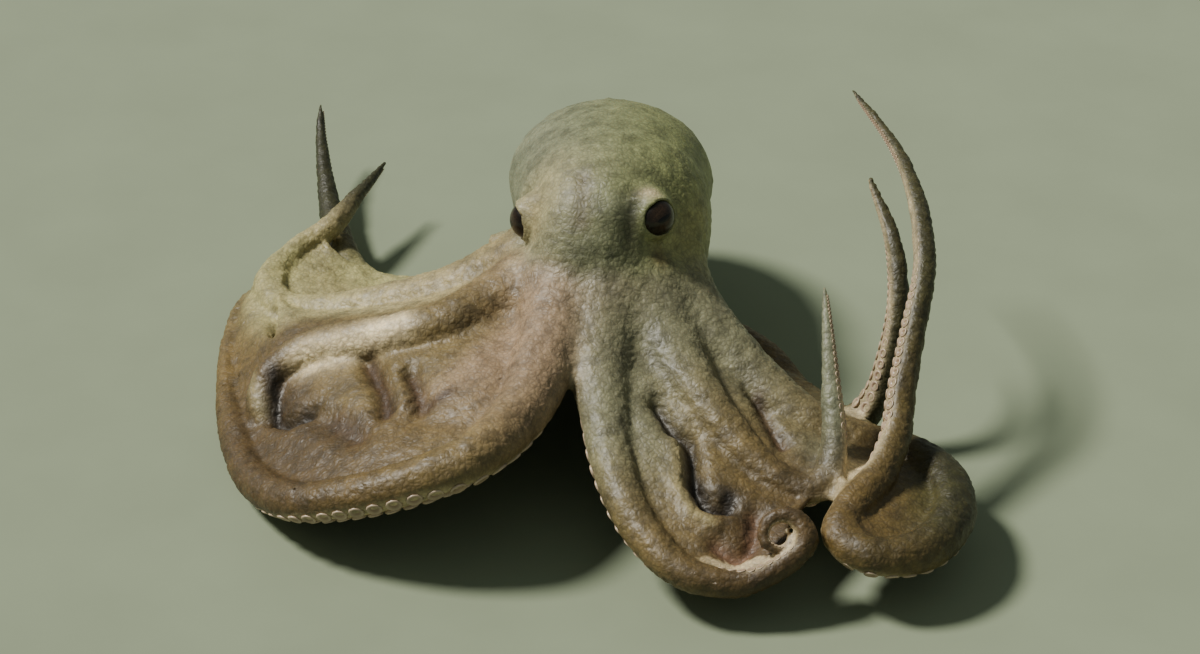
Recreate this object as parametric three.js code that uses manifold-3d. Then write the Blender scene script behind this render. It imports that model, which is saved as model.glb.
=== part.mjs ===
// A life-size common octopus at rest on a flat floor, standing on spread and curled arms, with its
// front pair arched forwards, its web stretched between all eight and most of the arm tips raised.
// Millimetres, +Z up. The floor is the plane z = 0 and the animal faces -Y, turned a little towards
// -X. "Left" and "right" are the animal's own sides, and its arms are numbered from the front pair (1)
// to the rear pair (4).
import * as THREE from "three";
import { mergeVertices } from "three/addons/utils/BufferGeometryUtils.js";
import Module from "manifold-3d";

const wasm = await Module();
wasm.setup();

// ---- Driving dimensions, millimetres and degrees ----

const ORIGIN = [0.8, -7.8, 0]; // centre of the whole footprint: the part's own origin
const GAP = 0.3; // clearance between neighbouring pieces
const FLOOR_FLAT = 1; // how deep a resting arm is pressed flat by the floor
const SPACE_SIZE = 600; // edge of the blocks of space on each side of a cut

const HEAD = {
  centre: [10, -17, 86],
  semiAxes: [35, 30, 28], // sideways, forwards, upwards
  yaw: -20,
  roll: -13,
};
const NECK = {
  centre: [17, 3, 77],
  semiAxes: [39, 37, 34],
  parting: 15, // the plane y = this parts the head's node from the mantle's
};
const EYE = {
  place: [30, -9, 8], // in the head's frame, for the animal's left eye
  radius: 9,
  axis: [0.87, -0.5, 0.17], // the way the pupil looks
  moundRadius: 13.5,
  moundSink: 7, // how far behind the eye the centre of its mound lies
};
const MANTLE = {
  centre: [14, 47, 70],
  semiAxes: [47, 62, 37.4], // sideways, along the body, upwards
  pitch: -25, // the rear end hangs lower than the neck
  rearSwell: 0.07, // how much wider the bag is towards its rear
};
const FUNNEL = {
  root: [-14, 14, 60],
  tip: [-42, 21, 51],
  rootRadius: 9,
  tipRadius: 6,
  wall: 1.8,
  boreDepth: 14,
};
const CROWN = {
  centre: [10, -19, 60], // the middle of the ring from which the arms spring
  radius: 25,
  rearRadius: 18, // the rear pair starts closer in, under the mantle
  innerRadius: 8,
  innerRise: 3,
  tilt: 15, // the ring is higher in front
};
const ARM = {
  baseRadius: 14.5,
  tipRadius: 1.2,
  taper: 0.8, // exponent of the thinning towards the tip
  sides: 8,
  splits: [0, 0.34, 0.66, 1], // shares of the length where the arm is divided
  lengthNames: ["base", "middle", "tip"],
  stepBase: 10.8, // spacing of the rings: this much,
  stepShare: 0.75, // plus this share of the radius
};
const WEB = { thickness: 3, across: 4, step: 34, crownRise: 4 };

// How finely each rounded piece is faceted: faces around it, then faces from end to end.
const FACETS = { ball: [10, 7], head: [17, 10], neck: [16, 9], mantle: [19, 12], funnel: 10, framesPerArm: 240 };

const COLOURS = {
  skin: 0x9c8b74,
  mantle: 0x8c8672,
  web: 0x8f7355,
  eye: 0x1c1410,
};

// Where each arm leaves the crown, and the route of its centre line from there to its tip.
const ARMS = {
  left_1: {
    azimuth: -83,
    route: [
      [10, -76, 58], [11, -108, 48], [15, -140, 39], [26, -169, 29], [44, -190, 22], [66, -194, 20],
      [83, -191, 25], [94, -186, 31], [95, -179, 38], [86, -174, 43], [76, -177, 40],
      [75, -184, 33], [83, -187, 30], [89, -183, 33], [87, -179, 37],
    ],
  },
  right_1: {
    azimuth: -127,
    route: [
      [-15, -80, 60], [-25, -120, 54], [-45, -151, 52], [-71, -158, 44], [-97, -154, 34],
      [-119, -143, 24], [-139, -115, 14], [-153, -71, 7], [-160, -28, 5], [-162, 16, 5],
      [-156, 49, 4], [-140, 57, 4], [-124, 50, 3], [-109, 36, 2],
    ],
  },
  left_2: {
    azimuth: -48,
    route: [
      [36, -65, 58], [50, -96, 50], [65, -119, 41], [81, -136, 33], [96, -143, 30], [106, -137, 34],
      [109, -124, 46], [108, -108, 60], [107, -91, 74], [106, -73, 88],
    ],
  },
  right_2: {
    azimuth: -165,
    route: [
      [-41, -44, 60], [-58, -57, 58], [-78, -58, 53], [-102, -51, 45], [-123, -47, 36],
      [-137, -52, 27], [-139, -64, 18], [-130, -71, 10], [-113, -63, 5], [-101, -45, 5],
      [-88, -31, 5], [-73, -37, 5], [-64, -56, 4], [-70, -71, 3], [-80, -65, 3],
    ],
  },
  left_3: {
    azimuth: -12,
    route: [
      [56, -54, 54], [74, -74, 43], [95, -94, 33], [118, -102, 25], [143, -108, 22], [157, -130, 24],
      [156, -161, 26], [141, -181, 26], [120, -186, 28], [110, -174, 30], [115, -159, 33],
      [126, -142, 36], [135, -121, 44], [138, -104, 53], [144, -80, 68], [151, -49, 86],
      [150, -17, 96], [143, 21, 102], [126, 69, 106],
    ],
  },
  right_3: {
    azimuth: 150,
    route: [
      [-36, -3, 52], [-59, -4, 42], [-85, 1, 32], [-113, 8, 23], [-135, 16, 19], [-146, 39, 18],
      [-137, 64, 20], [-120, 80, 26], [-107, 106, 29], [-96, 131, 31],
    ],
  },
  left_4: {
    azimuth: 45,
    rear: true,
    route: [
      [33, 1, 43], [42, 8, 28], [53, 9, 16], [68, 2, 9], [83, -13, 8], [95, -36, 8], [107, -56, 8],
      [121, -68, 14], [131, -68, 27], [137, -61, 48], [140, -49, 66], [138, -27, 84], [130, 1, 98],
    ],
  },
  right_4: {
    azimuth: 115,
    rear: true,
    route: [
      [-3, 7, 41], [-10, 20, 26], [-22, 33, 13], [-39, 41, 8], [-58, 44, 8], [-77, 45, 8],
      [-92, 49, 8], [-105, 58, 9], [-116, 84, 11], [-122, 111, 15], [-127, 141, 21],
      [-130, 165, 27], [-131, 184, 34],
    ],
  },
};

// The web between each pair of neighbouring arms: how far it reaches along the two arms, and how much
// its free edge is drawn back in the middle, as a share of that reach.
const WEBS = [
  { name: "web_front", arms: ["left_1", "right_1"], reach: [88, 88], drawn: 0.12 },
  { name: "web_left_1_2", arms: ["left_1", "left_2"], reach: [228, 164], drawn: 0.05 },
  { name: "web_left_2_3", arms: ["left_2", "left_3"], reach: [178, 284], drawn: 0.02 },
  { name: "web_left_3_4", arms: ["left_3", "left_4"], reach: [300, 150], drawn: 0.08 },
  { name: "web_rear", arms: ["left_4", "right_4"], reach: [60, 60], drawn: 0.3 },
  { name: "web_right_3_4", arms: ["right_4", "right_3"], reach: [150, 225], drawn: 0.05 },
  { name: "web_right_2_3", arms: ["right_3", "right_2"], reach: [205, 165], drawn: 0.05 },
  { name: "web_right_1_2", arms: ["right_2", "right_1"], reach: [165, 450], drawn: 0.02 },
];

// ---- Solids: closed geometries joined and cut ----

function solidFrom(geometry) {
  geometry.deleteAttribute("normal");
  geometry.deleteAttribute("uv");
  const merged = mergeVertices(geometry, 1e-3);
  const vertProperties = merged.attributes.position.array;
  const triVerts = new Uint32Array(merged.index.array);
  return new wasm.Manifold(new wasm.Mesh({ numProp: 3, vertProperties, triVerts }));
}

function geometryFrom(solid) {
  const mesh = solid.getMesh();
  const geometry = new THREE.BufferGeometry();
  geometry.setAttribute("position", new THREE.BufferAttribute(mesh.vertProperties, 3));
  geometry.setIndex(new THREE.BufferAttribute(mesh.triVerts, 1));
  geometry.computeVertexNormals();
  return geometry;
}

// Cuts away every solid of a list, and what lies below the floor, and keeps the largest piece left.
function trimmed(solid, cutters) {
  let rest = solid.intersect(ABOVE_FLOOR);
  for (const cutter of cutters) rest = rest.subtract(cutter);
  const pieces = rest.decompose();
  return pieces.reduce((best, piece) => (piece.volume() > best.volume() ? piece : best));
}

// A large block of space with its middle at a place.
function space(x, y, z) {
  return solidFrom(new THREE.BoxGeometry(SPACE_SIZE, SPACE_SIZE, SPACE_SIZE).translate(x, y, z));
}

const ABOVE_FLOOR = space(0, 0, SPACE_SIZE / 2);
const FRONT_OF_PARTING = space(0, NECK.parting - (GAP + SPACE_SIZE) / 2, 0);
const BEHIND_PARTING = space(0, NECK.parting + (GAP + SPACE_SIZE) / 2, 0);

// ---- Head, eyes and mantle ----

function headPlacement() {
  const turn = new THREE.Euler(
    0,
    THREE.MathUtils.degToRad(HEAD.roll),
    THREE.MathUtils.degToRad(HEAD.yaw),
    "ZYX",
  );
  return new THREE.Matrix4().makeRotationFromEuler(turn).setPosition(...HEAD.centre);
}

function ball(radius, place, matrix) {
  const geometry = new THREE.SphereGeometry(radius, ...FACETS.ball);
  return solidFrom(geometry.translate(...place).applyMatrix4(matrix));
}

function eyePlace(side, sink) {
  const axis = new THREE.Vector3(...EYE.axis).normalize();
  const place = new THREE.Vector3(...EYE.place).addScaledVector(axis, -sink);
  return [place.x * side, place.y, place.z];
}

function eyeball(side, grow = 0) {
  return ball(EYE.radius + grow, eyePlace(side, 0), headPlacement());
}

// The head: an egg of flesh with a mound round each eye, and the neck behind it. `grow` makes it
// larger all round.
function headShape(grow = 0) {
  const [width, depth, height] = HEAD.semiAxes.map((half) => half + grow);
  const skull = new THREE.SphereGeometry(1, ...FACETS.head);
  skull.rotateX(Math.PI / 2).scale(width, depth, height).applyMatrix4(headPlacement());
  const neck = new THREE.SphereGeometry(1, ...FACETS.neck);
  neck.rotateX(Math.PI / 2).scale(...NECK.semiAxes.map((half) => half + grow));
  let head = solidFrom(skull).add(solidFrom(neck.translate(...NECK.centre)));
  for (const side of [1, -1]) {
    head = head.add(ball(EYE.moundRadius + grow, eyePlace(side, EYE.moundSink), headPlacement()));
  }
  return head;
}

// The mantle: a bag, fuller towards the rear.
function mantleShape(grow = 0) {
  const bag = new THREE.SphereGeometry(1, ...FACETS.mantle);
  bag.rotateX(-Math.PI / 2);
  const position = bag.attributes.position;
  for (let i = 0; i < position.count; i += 1) {
    const along = position.getY(i);
    const swell = 1 + MANTLE.rearSwell * Math.sin(along * Math.PI * 0.5);
    position.setX(i, position.getX(i) * swell);
    position.setZ(i, position.getZ(i) * swell);
  }
  bag.scale(...MANTLE.semiAxes.map((half) => half + grow));
  bag.rotateX(THREE.MathUtils.degToRad(MANTLE.pitch)).translate(...MANTLE.centre);
  return solidFrom(bag);
}

// The funnel: a tapered spout with a short open bore, beside the neck.
function funnelShape(grow = 0) {
  const root = new THREE.Vector3(...FUNNEL.root);
  const tip = new THREE.Vector3(...FUNNEL.tip);
  const length = root.distanceTo(tip);
  const bore = FUNNEL.tipRadius - FUNNEL.wall;
  const profile = [
    [0, 0],
    [FUNNEL.rootRadius + grow, 0],
    [FUNNEL.tipRadius + grow, length + grow],
    [bore, length + grow],
    [bore, length - FUNNEL.boreDepth],
    [0, length - FUNNEL.boreDepth],
  ];
  const outline = profile.map(([radius, along]) => new THREE.Vector2(radius, along));
  const spout = new THREE.LatheGeometry(outline, FACETS.funnel);
  const heading = tip.clone().sub(root).normalize();
  const turn = new THREE.Quaternion().setFromUnitVectors(new THREE.Vector3(0, 1, 0), heading);
  spout.applyQuaternion(turn);
  return solidFrom(spout.translate(...FUNNEL.root));
}

// ---- Arms ----

// A point on the crown's tilted ring, at a distance from its middle and raised a little.
function crownPoint(azimuth, radius, rise) {
  const point = new THREE.Vector3(radius, 0, 0);
  point.applyAxisAngle(new THREE.Vector3(0, 0, 1), THREE.MathUtils.degToRad(azimuth));
  point.applyAxisAngle(new THREE.Vector3(1, 0, 0), -THREE.MathUtils.degToRad(CROWN.tilt));
  point.z += rise;
  return point.add(new THREE.Vector3(...CROWN.centre));
}

// An arm's centre line with its length and the frames that turn along it without twist.
function armLine(name) {
  const { azimuth, rear, route } = ARMS[name];
  const radius = rear ? CROWN.rearRadius : CROWN.radius;
  const curve = new THREE.CatmullRomCurve3([
    crownPoint(azimuth, CROWN.innerRadius, CROWN.innerRise),
    crownPoint(azimuth, radius, 0),
    ...route.map((point) => new THREE.Vector3(...point)),
  ]);
  curve.arcLengthDivisions = 800;
  return { curve, length: curve.getLength(), frames: curve.computeFrenetFrames(FACETS.framesPerArm) };
}

function armRadius(share) {
  return ARM.tipRadius + (ARM.baseRadius - ARM.tipRadius) * (1 - share) ** ARM.taper;
}

// The centre of the arm at a share of its length: on the route, but lying on the floor where the
// route runs lower than that.
function armCentre(line, share) {
  const centre = line.curve.getPointAt(share);
  centre.z = Math.max(centre.z, armRadius(share) - FLOOR_FLAT);
  return centre;
}

// A tapered tube along the arm between two shares of its length, `grow` larger all round.
function armTube(line, from, to, grow = 0) {
  const step = ARM.stepBase + ARM.stepShare * armRadius((from + to) / 2);
  const rings = Math.max(3, Math.round(((to - from) * line.length) / step));
  const tube = new THREE.CylinderGeometry(1, 1, 1, ARM.sides, rings);
  const position = tube.attributes.position;
  for (let i = 0; i < position.count; i += 1) {
    const share = THREE.MathUtils.lerp(from, to, 0.5 - position.getY(i));
    const frame = Math.round(share * FACETS.framesPerArm);
    const tangent = line.curve.getTangentAt(share);
    const side = line.frames.normals[frame].clone().projectOnPlane(tangent).normalize();
    const lift = tangent.clone().cross(side);
    const radius = armRadius(share) + grow;
    const point = armCentre(line, share)
      .addScaledVector(side, position.getX(i) * radius)
      .addScaledVector(lift, position.getZ(i) * radius);
    position.setXYZ(i, point.x, point.y, point.z);
  }
  return solidFrom(tube);
}

// ---- Webs ----

// The sheet of skin between two arms. Across it runs from one centre line to the other, and down it
// follows both arms as far as it reaches.
function webSheet({ arms, reach, drawn }, lines, grow = 0) {
  const [first, second] = arms.map((name) => lines[name]);
  const pointAt = (across, down) => {
    const depth = down * (1 - drawn * Math.sin(Math.PI * across));
    const start = armCentre(first, (depth * reach[0]) / first.length);
    const end = armCentre(second, (depth * reach[1]) / second.length);
    const point = start.lerp(end, across);
    point.z += WEB.crownRise * Math.sin(Math.PI * across);
    return point;
  };
  const rows = Math.max(4, Math.round(Math.max(...reach) / WEB.step));
  const sheet = new THREE.BoxGeometry(1, 1, 1, WEB.across, 1, rows);
  const position = sheet.attributes.position;
  const nudge = 0.01;
  for (let i = 0; i < position.count; i += 1) {
    const across = position.getX(i) + 0.5;
    const down = position.getZ(i) + 0.5;
    const point = pointAt(across, down);
    const alongEdge = pointAt(Math.min(across + nudge, 1), down).sub(
      pointAt(Math.max(across - nudge, 0), down),
    );
    const downwards = pointAt(across, Math.min(down + nudge, 1)).sub(
      pointAt(across, Math.max(down - nudge, 0)),
    );
    const normal = downwards.cross(alongEdge).normalize();
    point.addScaledVector(normal, position.getY(i) * (WEB.thickness + 2 * grow));
    position.setXYZ(i, point.x, point.y, point.z);
  }
  return solidFrom(sheet);
}

// ---- The animal ----

function finish(colour, roughness) {
  return new THREE.MeshStandardMaterial({ color: colour, roughness, metalness: 0 });
}

const octopus = new THREE.Group();
const animal = new THREE.Group();
animal.position.set(-ORIGIN[0], -ORIGIN[1], -ORIGIN[2]);
octopus.add(animal);

function addPiece(name, solid, material) {
  const mesh = new THREE.Mesh(geometryFrom(solid), material);
  mesh.name = name;
  animal.add(mesh);
}

const skin = finish(COLOURS.skin, 0.45);
const mantleSkin = finish(COLOURS.mantle, 0.5);
const webSkin = finish(COLOURS.web, 0.45);
const eyeGloss = finish(COLOURS.eye, 0.08);

const lines = {};
for (const name of Object.keys(ARMS)) lines[name] = armLine(name);

const headCutter = headShape(GAP);
const mantleCutter = mantleShape(GAP);
const funnelCutter = funnelShape(GAP);

// The parting plane runs through both shapes, so the head's node ends in the front of the mantle.
const fullHead = headShape().add(mantleShape()).intersect(FRONT_OF_PARTING);
addPiece("head", trimmed(fullHead, [eyeball(1, GAP), eyeball(-1, GAP)]), skin);
addPiece("eye_left", eyeball(1), eyeGloss);
addPiece("eye_right", eyeball(-1), eyeGloss);
addPiece("mantle", trimmed(mantleShape().intersect(BEHIND_PARTING), []), mantleSkin);
addPiece("funnel", trimmed(funnelShape(), [headCutter, mantleCutter]), skin);

// Each arm gives way to the head, the mantle and the arms before it, so the crown closes up solid.
const bodyCutters = [headCutter, mantleCutter, funnelCutter];
const armCutters = [];
for (const [name, line] of Object.entries(lines)) {
  const partGap = GAP / 2 / line.length;
  const growns = ARM.lengthNames.map((lengthName, index) => {
    const from = ARM.splits[index] + (index > 0 ? partGap : 0);
    const to = ARM.splits[index + 1] - (index < ARM.lengthNames.length - 1 ? partGap : 0);
    const cutters = index > 0 ? [] : [...bodyCutters, ...armCutters];
    addPiece(`arm_${name}_${lengthName}`, trimmed(armTube(line, from, to), cutters), skin);
    return armTube(line, from, to, GAP);
  });
  armCutters.push(...growns);
}

const webCutters = [];
for (const web of WEBS) {
  const cutters = [...bodyCutters, ...armCutters, ...webCutters];
  addPiece(web.name, trimmed(webSheet(web, lines), cutters), webSkin);
  webCutters.push(webSheet(web, lines, GAP));
}

export default octopus;
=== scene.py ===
"""A common octopus resting on the floor: its skin, suckers and eyes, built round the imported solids."""

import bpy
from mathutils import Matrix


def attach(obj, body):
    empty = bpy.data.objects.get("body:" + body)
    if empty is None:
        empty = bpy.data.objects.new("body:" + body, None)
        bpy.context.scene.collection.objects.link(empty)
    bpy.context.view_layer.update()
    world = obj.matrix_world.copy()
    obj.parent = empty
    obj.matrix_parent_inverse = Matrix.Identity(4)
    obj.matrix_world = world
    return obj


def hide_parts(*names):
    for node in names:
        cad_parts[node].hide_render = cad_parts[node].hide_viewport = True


bl_info = {
    "name": "Octopus",
    "version": (1, 0, 0),
    "blender": (4, 5, 0),
    "location": "View3D > Sidebar > Octopus",
    "description": "Builds the skin, suckers and eyes of a life-size octopus round its solids",
    "category": "Object",
}

import math
from typing import NamedTuple

import bmesh
import bpy
import numpy as np
from bpy.props import FloatProperty, FloatVectorProperty, IntProperty, PointerProperty
from mathutils import Euler, Matrix, Vector, bvhtree, noise

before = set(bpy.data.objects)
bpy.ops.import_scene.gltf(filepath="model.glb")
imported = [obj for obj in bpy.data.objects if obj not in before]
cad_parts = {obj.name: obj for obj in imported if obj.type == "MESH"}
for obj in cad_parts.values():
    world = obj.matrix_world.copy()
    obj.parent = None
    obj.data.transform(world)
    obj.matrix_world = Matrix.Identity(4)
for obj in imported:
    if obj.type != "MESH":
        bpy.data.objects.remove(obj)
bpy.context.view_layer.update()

# ---------------------------------------------------------------- sizes

# Lengths are in millimetres. Head, neck, mantle, funnel, crown and arms are as thick as in the solids.
MM = 0.001
ORIGIN = Vector((0.8, -7.8, 0))  # where the part's origin lies in the places below

HEAD_CENTRE = (10, -17, 86)
HEAD_SEMI_AXES = (35, 30, 28)
HEAD_TURN = Euler((0, math.radians(-13), math.radians(-20)))

EYE_PLACE = (30, -9, 8)  # in the head's own axes, on the animal's left
EYE_RADIUS = 9
EYE_AXIS = (0.87, -0.5, 0.17)
EYE_MOUND_RADIUS = 13.5
EYE_MOUND_SINK = 7
EYE_CORE = 6  # within this of an eye's middle, the joints' filling and smoothing are held off
EYE_SURROUND = 12  # and they come in over about this much more
EYE_REACH = 17  # how far round an eye the skin is shaped into lids and brow
LID_RADIUS = 8.4
LID_WIDTH = 1.4
LID_HEIGHT = 1.3
LID_STRETCH = 1.08  # the lids' ring is this much wider than high
BROW_PLACE = (3, 11.5)  # forwards and up from the eye's middle
BROW_STRETCH = 1.6
BROW_WIDTH = 3.2
BROW_HEIGHT = 2.6
SOCKET_RADIUS = 6.9
SOCKET_DEPTH = 3.4
SOCKET_EDGE = 0.35

MANTLE_CENTRE = (14, 47, 70)
MANTLE_SEMI_AXES = (47, 62, 37.4)
MANTLE_PITCH = math.radians(-25)
MANTLE_REAR_SWELL = 0.07

NECK_CENTRE = (17, 3, 77)
NECK_SEMI_AXES = (39, 37, 34)

FUNNEL_ROOT = (-14, 14, 60)
FUNNEL_TIP = (-42, 21, 51)
FUNNEL_RADII = (9, 6)
FUNNEL_WALL = 1.8
FUNNEL_BORE = 14

CROWN_CENTRE = (10, -19, 60)
CROWN_RADIUS = 25
CROWN_REAR_RADIUS = 18
CROWN_INNER_RADIUS = 8
CROWN_INNER_RISE = 3
CROWN_TILT = math.radians(15)
CROWN_FLESH = (37, 33, 20)  # semi-axes of what joins the arms' roots to the head

ARM_BASE_RADIUS = 14.5
ARM_TIP_RADIUS = 1.2
ARM_TAPER = 0.8
FLOOR_FLAT = 1  # how far an arm that lies down is pressed into the floor

WEB_THICKNESS = 3
WEB_CROWN_RISE = 4

# How far creases are filled: at the eyes, how much more elsewhere, and more again near the crown.
EYE_FILL = 1
FILL = 5
CROWN_FILL = 5
CROWN_SPAN = 60

# How far the skin is smoothed: all over, and round the crown, where it fades out over some distance.
ALL_BLUR = 2.2
CROWN_BLUR = 12
CROWN_BLUR_REACH = 43.2
CROWN_BLUR_FADE = 48

# How far apart the skin's warts, pimples, swellings and wrinkles are, and how high two of them stand.
WART_SPACING = 6.5
WART_PATCH = 16  # how large the patches are that bear warts
PIMPLE_SPACING = 3.2
PIMPLE_HEIGHT = 0.22
SWELLING_SPACING = 9
SWELLING_HEIGHT = 0.45
WRINKLE_SPACING = 4.2


class Arm(NamedTuple):
    """An arm: where it leaves the crown, its route, which way its suckers face and its colours."""

    azimuth: float  # in degrees
    crown_radius: float
    route: list
    oral: list  # (share of the length, direction) pairs
    tones: list  # (share of the length, colour name) pairs


ARMS = {
    "right_1": Arm(
        -127,
        CROWN_RADIUS,
        [
            (-15, -80, 60), (-25, -120, 54), (-45, -151, 52), (-71, -158, 44), (-97, -154, 34),
            (-119, -143, 24), (-139, -115, 14), (-153, -71, 7), (-160, -28, 5), (-162, 16, 5),
            (-156, 49, 4), (-140, 57, 4), (-124, 50, 3), (-109, 36, 2),
        ],
        [(0, (0.2, 0.5, -1)), (0.2, (0.4, 0.1, -1)), (0.34, (0, -0.7, -0.75)), (0.46, (0.3, -0.75, -0.6)),
         (0.6, (0.3, 0, -1)), (1, (0, 0, -1))],
        [(0, "rose"), (0.16, "rose"), (0.3, "fawn"), (0.38, "umber"), (0.46, "ochre"), (0.62, "ochre"),
         (0.72, "umber"), (1, "fawn")],
    ),
    "left_1": Arm(
        -83,
        CROWN_RADIUS,
        [
            (10, -76, 58), (11, -108, 48), (15, -140, 39), (26, -169, 29), (44, -190, 22),
            (66, -194, 20), (82, -191, 25), (92.5, -185, 32), (93, -179.5, 37.5), (86, -175.5, 41.5),
            (78, -178, 39), (77, -183.5, 33.5), (83.5, -186, 31), (88, -182.5, 33.5), (86, -180, 37),
        ],
        [(0, (0, 0.4, -1)), (0.14, (-0.45, 0.4, -0.8)), (0.34, (-0.8, 0.1, -0.6)),
         (0.46, (-0.6, 0.2, -0.8)), (0.58, (-0.1, 0.3, -0.9)), (0.66, (0, 0.95, 0)),
         (0.73, (-0.2, 0.6, 0.8)), (0.78, (-0.8, 0.3, 0.4)), (0.82, (-0.9, -0.2, -0.3)),
         (0.86, (0, -0.6, -0.8)), (0.9, (0.7, -0.4, -0.5)), (0.94, (0.9, 0.2, 0.1)),
         (0.97, (0.2, 0.5, 0.8)), (1, (-0.5, 0, 0.8))],
        [(0, "rose"), (0.12, "lichen"), (0.36, "lichen"), (0.52, "fawn"), (0.7, "ochre"), (1, "ochre")],
    ),
    "left_2": Arm(
        -48,
        CROWN_RADIUS,
        [
            (36, -65, 58), (50, -96, 50), (65, -119, 41), (81, -136, 33), (96, -143, 30),
            (106, -137, 34), (109, -124, 46), (108, -108, 60), (107, -91, 74), (106, -73, 88),
        ],
        [(0, (0, 0.4, -1)), (0.3, (0.2, 0.2, -1)), (0.5, (0.3, -0.2, -0.9)), (0.66, (0.9, -0.35, -0.1)),
         (1, (0.9, -0.3, 0))],
        [(0, "lichen"), (0.25, "lichen"), (0.45, "fawn"), (0.62, "ochre"), (0.78, "slate"), (1, "slate")],
    ),
    "left_3": Arm(
        -12,
        CROWN_RADIUS,
        [
            (56, -54, 54), (74, -74, 43), (95, -94, 33), (118, -102, 25), (143, -108, 22),
            (157, -130, 24), (156, -161, 26), (141, -181, 26), (120, -186, 28), (110, -174, 30),
            (115, -159, 33), (126, -142, 36), (135, -121, 44), (138, -104, 53), (144, -80, 68),
            (151, -49, 86), (150, -17, 96), (143, 21, 102), (126, 69, 106),
        ],
        [(0, (-0.2, 0.3, -1)), (0.25, (0, 0, -1)), (0.45, (0, 0, -1)), (0.5, (0, -0.6, -0.8)),
         (0.53, (-0.85, -0.3, -0.3)), (0.6, (-0.95, -0.35, 0.1)), (0.8, (-0.95, -0.2, 0)),
         (1, (-0.9, -0.2, -0.3))],
        # The olive stretch at the loop's outer side is painted shade over the arm's own umber.
        [(0, "lichen"), (0.14, "lichen"), (0.24, "fawn"), (0.3, "umber"), (0.36, "olive"),
         (0.46, "umber"), (0.55, "umber"), (0.75, "bronze"), (1, "bronze")],
    ),
    "left_4": Arm(
        45,
        CROWN_REAR_RADIUS,
        [
            (33, 1, 43), (42, 8, 28), (53, 9, 16), (68, 2, 9), (83, -13, 8), (95, -36, 8),
            (107, -56, 8), (121, -68, 14), (131, -68, 27), (137, -61, 48), (140, -49, 66),
            (138, -27, 84), (130, 1, 98),
        ],
        [(0, (0, 0, -1)), (0.4, (0, 0, -1)), (0.55, (-0.7, -0.3, -0.5)), (0.7, (-0.95, -0.3, 0)),
         (1, (-0.95, -0.2, 0))],
        [(0, "slate"), (0.35, "umber"), (0.6, "bronze"), (1, "bronze")],
    ),
    "right_4": Arm(
        115,
        CROWN_REAR_RADIUS,
        [
            (-3, 7, 41), (-10, 20, 26), (-22, 33, 13), (-39, 41, 8), (-58, 44, 8), (-77, 45, 8),
            (-92, 49, 8), (-105, 58, 9), (-116, 84, 11), (-122, 111, 15), (-127, 141, 21),
            (-130, 165, 27), (-131, 184, 34),
        ],
        [(0, (0, 0, -1)), (0.6, (0, 0.1, -1)), (1, (0.6, 0.5, -0.6))],
        [(0, "sand"), (0.5, "straw"), (0.55, "straw"), (0.61, "pitch"), (1, "pitch")],
    ),
    "right_3": Arm(
        150,
        CROWN_RADIUS,
        [
            (-36, -3, 52), (-59, -4, 42), (-85, 1, 32), (-113, 8, 23), (-135, 16, 19),
            (-146, 39, 18), (-137, 64, 20), (-120, 80, 26), (-107, 106, 29), (-96, 131, 31),
        ],
        [(0, (0, 0, -1)), (0.6, (0.2, 0, -1)), (1, (0.3, 0.3, -0.9))],
        [(0, "fawn"), (0.3, "sand"), (0.7, "straw"), (0.8, "sand"), (0.88, "pitch"), (1, "pitch")],
    ),
    "right_2": Arm(
        -165,
        CROWN_RADIUS,
        [
            (-41, -44, 60), (-58, -57, 58), (-78, -58, 53), (-102, -51, 45), (-123, -47, 36),
            (-137, -52, 27), (-139, -64, 18), (-130, -71, 10), (-113, -63, 5), (-101, -45, 5),
            (-88, -31, 5), (-73, -37, 5), (-64, -56, 4), (-70, -71, 3), (-80, -65, 3),
        ],
        [(0, (0, 0, -1)), (0.3, (0, 0.2, -1)), (0.42, (0.6, 0.2, -0.7)), (0.55, (0.4, 0.2, -0.9)),
         (1, (0, 0, -1))],
        [(0, "rose"), (0.2, "fawn"), (0.35, "fawn"), (0.5, "ochre"), (0.7, "ochre"), (1, "fawn")],
    ),
}


class Web(NamedTuple):
    """A web between two arms: how far along each it ends and begins, and how far its edge is drawn up."""

    arms: tuple
    reach: tuple
    drawn: float
    start: tuple = (0, 0)


WEBS = (
    Web(("left_1", "right_1"), (88, 88), 0.12),
    Web(("left_1", "left_2"), (228, 164), 0.05),
    Web(("left_2", "left_3"), (178, 284), 0.02),
    Web(("left_3", "left_4"), (300, 150), 0.08),
    Web(("left_4", "right_4"), (60, 60), 0.3),
    Web(("right_4", "right_3"), (150, 225), 0.05),
    Web(("right_3", "right_2"), (205, 165), 0.05),
    Web(("right_2", "right_1"), (165, 450), 0.02),
    Web(("right_3", "right_1"), (205, 450), 0, start=(115, 290)),  # narrows the gap between the two above
)

# ---------------------------------------------------------------- colours

# Skin colours as red, green and blue out of 255. The darkest ones also serve below as painted shade in
# creases and on shaded sides.
SKIN_TONES = {
    "slate": (125, 128, 102),
    "moss": (130, 135, 82),
    "lichen": (121, 119, 91),
    "sand": (168, 154, 111),
    "straw": (170, 164, 111),
    "fawn": (117, 100, 61),
    "rose": (150, 126, 99),
    "mauve": (114, 84, 64),
    "ochre": (82, 64, 34),
    "umber": (106, 86, 45),
    "bronze": (66, 63, 34),
    "dusk": (96, 98, 74),
    "olive": (78, 76, 34),
    "pitch": (48, 48, 22),
    "cream": (240, 220, 176),
    "maroon": (60, 36, 22),
    "shade": (32, 24, 14),
}


class Line(NamedTuple):
    """A fold, crease or marking: its path in millimetres, half-width, and height or colour strength."""

    path: list
    width: float
    amount: float
    tone: str = ""


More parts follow.
